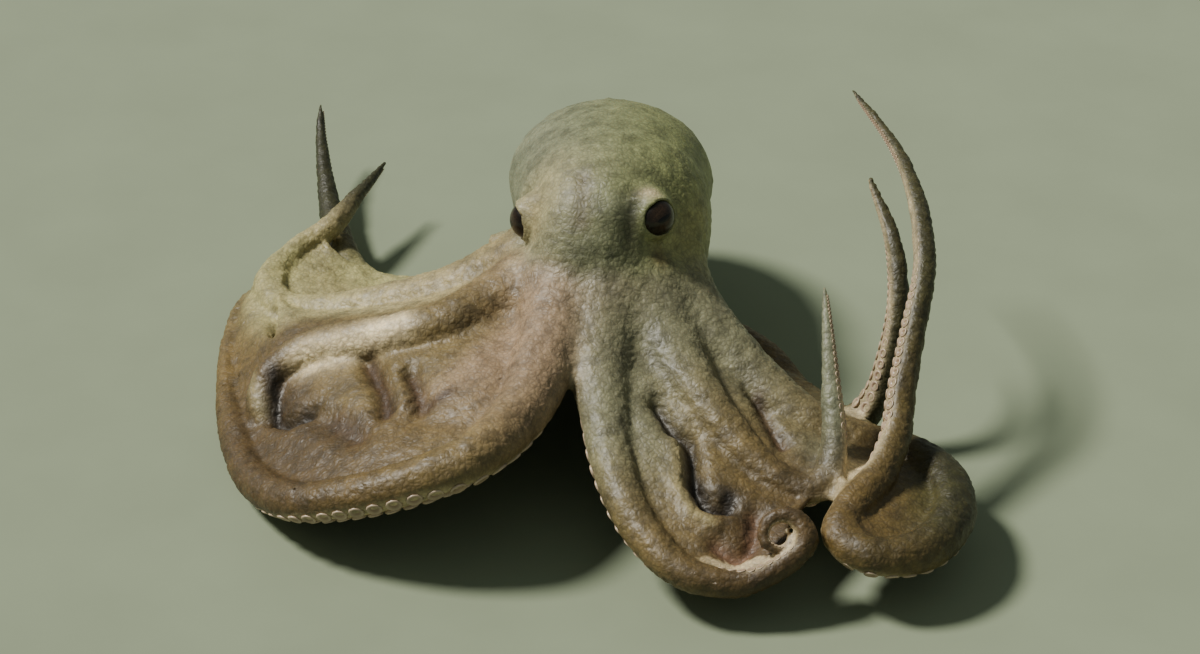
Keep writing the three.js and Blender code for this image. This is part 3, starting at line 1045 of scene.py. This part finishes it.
def skin_material():
    """Mottled wet skin: painted tones, clouded and netted with darker grooves, and flecked."""
    s = Shader("skin")
    where = s.add("ShaderNodeTexCoord").outputs["Object"]
    painted = s.add("ShaderNodeAttribute", attribute_name="Tone").outputs["Color"]
    clouds = s.ramp(s.noise(where, 14 * MM, 5), (0.3, 0.62), (0.5, 0.98), (0.72, 1.3))
    colour = s.mix(0.8, painted, clouds, "MULTIPLY")
    blotches = s.ramp(s.noise(where, 5 * MM, 5, Distortion=0.6), (0.36, 0.6), (0.52, 1.0), (0.7, 1.22))
    colour = s.mix(0.7, colour, blotches, "MULTIPLY")
    net = s.ramp(s.cells(where, 2.4 * MM, "DISTANCE_TO_EDGE"), (0.0, 0.55), (0.12, 0.9), (0.3, 1.08))
    colour = s.mix(0.55, colour, net, "MULTIPLY")
    flecks = s.ramp(s.cells(where, 0.8 * MM), (0.12, 0.45), (0.3, 1.0))
    colour = s.mix(0.35, colour, flecks, "MULTIPLY")
    grains = s.bump(s.cells(where, 2.4 * MM, "DISTANCE_TO_EDGE"), 0.7 * MM, 0.55)
    return s.finish({
        "Base Color": colour,
        "Roughness": s.ramp(s.noise(where, 3 * MM, 3), (0.3, 0.46), (0.7, 0.64)),
        "Coat Weight": 0.07,
        "Coat Roughness": 0.3,
        "Subsurface Weight": 0.08,
        "Subsurface Radius": (1, 0.5, 0.25),
        "Subsurface Scale": 2 * MM,
        "Normal": s.bump(s.noise(where, 0.9 * MM, 3), 0.25 * MM, 0.5, grains),
    })


def sucker_material(colours):
    """Pale smooth rubbery flesh, darker down in the cup."""
    s = Shader("sucker")
    where = s.add("ShaderNodeTexCoord").outputs["Object"]
    depth = s.add("ShaderNodeAttribute", attribute_name="Cup").outputs["Fac"]
    colour = s.mix(depth, (*colours.sucker, 1), (*colours.sucker_cup, 1))
    clouds = s.ramp(s.noise(where, 6 * MM, 4), (0.3, 0.7), (0.7, 1.2))
    return s.finish({
        "Base Color": s.mix(0.8, colour, clouds, "MULTIPLY"),
        "Roughness": 0.4,
        "Coat Weight": 0.2,
        "Coat Roughness": 0.25,
        "Normal": s.bump(s.noise(where, 1.2 * MM, 2), 0.2 * MM, 0.4),
    })


def eye_material(colours):
    """A dark bronze iris with a level slit, under a clear wet front."""
    s = Shader("eye")
    gaze = s.add("ShaderNodeAttribute", attribute_name="Gaze").outputs["Vector"]
    axes = s.add("ShaderNodeSeparateXYZ", {"Vector": gaze}).outputs
    across = s.maths("DIVIDE", axes["X"], 0.46)
    up = s.maths("DIVIDE", axes["Y"], 0.15)
    wide = s.maths("POWER", s.maths("ABSOLUTE", across), 3)
    high = s.maths("POWER", s.maths("ABSOLUTE", up), 2)
    slit = s.maths("ADD", wide, high)
    in_slit = s.ramp(slit, (0.82, 1), (1.0, 0))
    streaks = s.noise(gaze, 0.09, 5, Distortion=1.4)
    iris = s.mix(
        s.ramp(streaks, (0.4, 0), (0.7, 1)), (*colours.iris, 1), (*(3.2 * c for c in colours.iris), 1)
    )
    squares = [s.maths("MULTIPLY", axes[name], axes[name]) for name in "XY"]
    radius = s.maths("SQRT", s.maths("ADD", *squares))
    rim = s.ramp(radius, (0.5, 1), (0.78, 0.25))
    iris = s.mix(1.0, iris, rim, "MULTIPLY")
    return s.finish({
        "Base Color": s.mix(in_slit, iris, (*colours.pupil, 1)),
        "Roughness": 0.3,
        "Specular IOR Level": 0.25,
        "Coat Weight": 0.35,
        "Coat Roughness": 0.04,
    })


def floor_material(colours):
    """Pale matt floor with a faint grain."""
    s = Shader("floor")
    where = s.add("ShaderNodeTexCoord").outputs["Object"]
    clouds = s.ramp(s.noise(where, 60 * MM, 4), (0.3, 0.95), (0.7, 1.03))
    return s.finish({"Base Color": s.mix(1.0, (*colours.floor, 1), clouds, "MULTIPLY"), "Roughness": 0.85})


# ---------------------------------------------------------------- operators


class OCTOPUS_OT_skin(bpy.types.Operator):
    """Build the one skin over head, mantle, funnel, arms and webs"""

    bl_idname = "octopus.skin"
    bl_label = "Skin"

    def execute(self, context):
        sizes = context.scene.octopus_sizes
        bm = bmesh.new()
        add_head(bm)
        add_mantle(bm)
        add_funnel(bm)
        for line in LINES.values():
            add_arm(bm, line)
        for web in WEBS:
            add_web(bm, web)
        piece = new_piece("skin", bm, skin_material())
        grain = sizes.grain * 1
        even_out(piece, grain)
        field = ArmField()
        self.melt_joints(piece, field, grain)
        mesh = piece.data
        points = skin_relief(coordinates(mesh), normals(mesh), field, sizes)
        put_coordinates(mesh, dress_eyes(above_floor(points)))
        triangles = 2 * len(mesh.polygons)
        thin = piece.modifiers.new("thin", "DECIMATE")
        thin.ratio = min(1, sizes.skin_faces / triangles)
        mesh = evaluated(piece)
        drop_crumbs(mesh)
        points = above_floor(coordinates(mesh))
        put_coordinates(mesh, points)
        colours = skin_colours(points, field)
        tone = mesh.color_attributes.new("Tone", "FLOAT_COLOR", "POINT")
        tone.data.foreach_set("color", np.column_stack([colours, np.ones(len(colours))]).ravel())
        mesh.shade_smooth()
        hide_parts(*[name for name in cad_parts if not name.startswith("eye_")])
        return {"FINISHED"}

    def melt_joints(self, piece, field, grain):
        """Fills and smooths the skin where arms, webs, head and mantle meet."""
        everywhere = np.ones(len(piece.data.vertices))
        smooth_by(piece, "all", everywhere, rounds_for(ALL_BLUR * MM, grain))
        mesh = piece.data
        points = coordinates(mesh)
        extra = FILL + CROWN_FILL * bell(from_crown(points), CROWN_SPAN * MM)
        reach = (EYE_FILL + extra * (1 - near_eyes(points))) * MM
        put_coordinates(mesh, filled(points, normals(mesh), field, reach))
        even_out(piece, grain)
        points = coordinates(piece.data)
        beyond = from_crown(points) - CROWN_BLUR_REACH * MM
        weights = np.clip(1 - beyond / (CROWN_BLUR_FADE * MM), 0, 1) * (1 - near_eyes(points))
        smooth_by(piece, "crown", weights, rounds_for(CROWN_BLUR * MM, grain))


class OCTOPUS_OT_suckers(bpy.types.Operator):
    """Set two rows of suckers along the underside of every arm"""

    bl_idname = "octopus.suckers"
    bl_label = "Suckers"

    # Half a section through a sucker of unit radius: (radius, height, how deep in the cup).
    section = (
        (0, -0.55, 0),
        (0.62, -0.5, 0),
        (0.8, 0.0, 0),
        (1.0, 0.2, 0),
        (0.84, 0.36, 0.1),
        (0.5, 0.16, 0.8),
        (0, -0.1, 1),
    )
    sides = 10
    smallest = 0.5 * MM
    first, last = 0.035, 0.985  # shares of the arm's length between which the suckers stand
    lean = 0.6  # how far the two rows lean apart, in radians

    def execute(self, context):
        sizes = context.scene.octopus_sizes
        material = sucker_material(context.scene.octopus_colours)
        unit = self.unit_mesh()
        skin = bpy.data.objects["skin"]
        tree = bvhtree.BVHTree.FromObject(skin, context.evaluated_depsgraph_get())
        for name, line in LINES.items():
            bm = bmesh.new()
            for matrix in self.sites(line, sizes, tree):
                before = len(bm.verts)
                bm.from_mesh(unit)
                bm.verts.ensure_lookup_table()
                bmesh.ops.transform(bm, matrix=matrix, verts=bm.verts[before:])
            piece = new_piece("suckers_" + name, bm, material)
            piece.data.shade_smooth()
        bpy.data.meshes.remove(unit)
        return {"FINISHED"}

    def unit_mesh(self):
        bm = bmesh.new()
        layer = bm.verts.layers.float.new("Cup")
        run = []
        for radius, height, deep in self.section:
            v = bm.verts.new((radius, 0, height))
            v[layer] = deep
            run.append(v)
        edges = [bm.edges.new(pair) for pair in zip(run[:-1], run[1:])]
        bmesh.ops.spin(
            bm,
            geom=run + edges,
            axis=(0, 0, 1),
            cent=(0, 0, 0),
            angle=2 * math.pi,
            steps=self.sides,
            use_merge=True,
        )
        bmesh.ops.remove_doubles(bm, verts=bm.verts, dist=1e-4)
        bmesh.ops.recalc_face_normals(bm, faces=bm.faces)
        return finished("sucker", bm)

    def sites(self, line, sizes, tree):
        """Where each sucker stands: alternately left and right of the arm's middle, closer as they shrink."""
        share, side = self.first, 1
        while share < self.last:
            radius = line.radius(share)
            size = sizes.sucker_share * radius * min(1, 0.55 + share * 4)
            if size < self.smallest:
                break
            turn = line.axes(share)
            lean = self.lean * side
            out = turn @ Vector((math.sin(lean), math.cos(lean), 0))
            face = turn @ Vector((math.sin(lean * 0.7), math.cos(lean * 0.7), 0))
            foot = line.centre(share) + out * radius * 0.8
            probe = foot + face * size * 1.3
            on_skin, outward = tree.find_nearest(probe)[:2]
            buried = (probe - on_skin).dot(outward) < 0
            lowest = foot.z + min(0, face.z) * size * 0.4 - size * math.hypot(face.x, face.y)
            if not buried and lowest > 0:
                yield ring(foot, face.to_track_quat("Z", "Y").to_matrix(), size)
            share += size * 1.06 / line.length
            side = -side


class OCTOPUS_OT_eyes(bpy.types.Operator):
    """Set the eyeballs in their lids"""

    bl_idname = "octopus.eyes"
    bl_label = "Eyes"

    def execute(self, context):
        material = eye_material(context.scene.octopus_colours)
        for name, side in (("left", 1), ("right", -1)):
            bm = bmesh.new()
            layer = bm.verts.layers.float_vector.new("Gaze")
            made = bmesh.ops.create_uvsphere(bm, u_segments=64, v_segments=40, radius=1)["verts"]
            for v in made:
                v[layer] = v.co
            bmesh.ops.transform(bm, matrix=eye_matrix(side) @ Matrix.Scale(EYE_RADIUS, 4), verts=made)
            piece = new_piece("eyeball_" + name, bm, material)
            piece.data.shade_smooth()
            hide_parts("eye_" + name)
        return {"FINISHED"}


class OCTOPUS_OT_stage(bpy.types.Operator):
    """Lay the floor and set up the lights and the camera"""

    bl_idname = "octopus.stage"
    bl_label = "Stage"

    target = (9, -15, 30)
    light_travel = (0.60, -0.12, -0.79)

    def execute(self, context):
        stage = context.scene.octopus_stage
        colours = context.scene.octopus_colours
        bm = bmesh.new()
        bmesh.ops.create_grid(bm, x_segments=1, y_segments=1, size=stage.floor_size / 2)
        floor = put_in_scene("floor", finished("floor", bm))
        floor.data.materials.append(floor_material(colours))
        self.add_lights(context, stage)
        self.add_camera(context, stage)
        return {"FINISHED"}

    def add_lights(self, context, stage):
        key = bpy.data.lights.new("key", "SUN")
        key.energy = stage.key_strength
        key.angle = math.radians(12)
        key.color = (1.0, 0.97, 0.9)
        lamp = put_in_scene("key", key)
        lamp.rotation_mode = "QUATERNION"
        lamp.rotation_quaternion = Vector(self.light_travel).to_track_quat("-Z", "Y")
        world = bpy.data.worlds.new("sky")
        world.use_nodes = True
        sky = world.node_tree.nodes["Background"]
        sky.inputs["Color"].default_value = (0.86, 0.95, 0.88, 1)
        sky.inputs["Strength"].default_value = stage.sky_strength
        context.scene.world = world

    def add_camera(self, context, stage):
        data = bpy.data.cameras.new("camera")
        data.lens = stage.lens
        data.sensor_width = 36
        camera = put_in_scene("camera", data)
        back = Vector((0, -math.cos(stage.elevation), math.sin(stage.elevation)))
        camera.location = place(self.target) + back * stage.distance
        camera.rotation_mode = "QUATERNION"
        camera.rotation_quaternion = (-back).to_track_quat("-Z", "Y")
        context.scene.camera = camera


class OCTOPUS_PT_panel(bpy.types.Panel):
    """Sizes, colours and the pieces in the order they are built"""

    bl_label = "Octopus"
    bl_idname = "OCTOPUS_PT_panel"
    bl_space_type = "VIEW_3D"
    bl_region_type = "UI"
    bl_category = "Octopus"

    def draw(self, context):
        layout = self.layout
        for group_name in GROUPS:
            group = getattr(context.scene, group_name)
            for name in group.__annotations__:
                layout.prop(group, name)
        for operator in (OCTOPUS_OT_skin, OCTOPUS_OT_suckers, OCTOPUS_OT_eyes, OCTOPUS_OT_stage):
            layout.operator(operator.bl_idname)


GROUPS = {
    "octopus_sizes": OctopusSizes,
    "octopus_colours": OctopusColours,
    "octopus_stage": OctopusStage,
}
CLASSES = (
    *GROUPS.values(),
    OCTOPUS_OT_skin,
    OCTOPUS_OT_suckers,
    OCTOPUS_OT_eyes,
    OCTOPUS_OT_stage,
    OCTOPUS_PT_panel,
)


def register():
    for c in CLASSES:
        bpy.utils.register_class(c)
    for name, group in GROUPS.items():
        setattr(bpy.types.Scene, name, PointerProperty(type=group))


def unregister():
    for name in GROUPS:
        delattr(bpy.types.Scene, name)
    for c in reversed(CLASSES):
        bpy.utils.unregister_class(c)


def main():
    register()
    bpy.ops.octopus.skin()
    bpy.ops.octopus.suckers()
    bpy.ops.octopus.eyes()
    bpy.ops.octopus.stage()


if __name__ == "__main__":
    main()
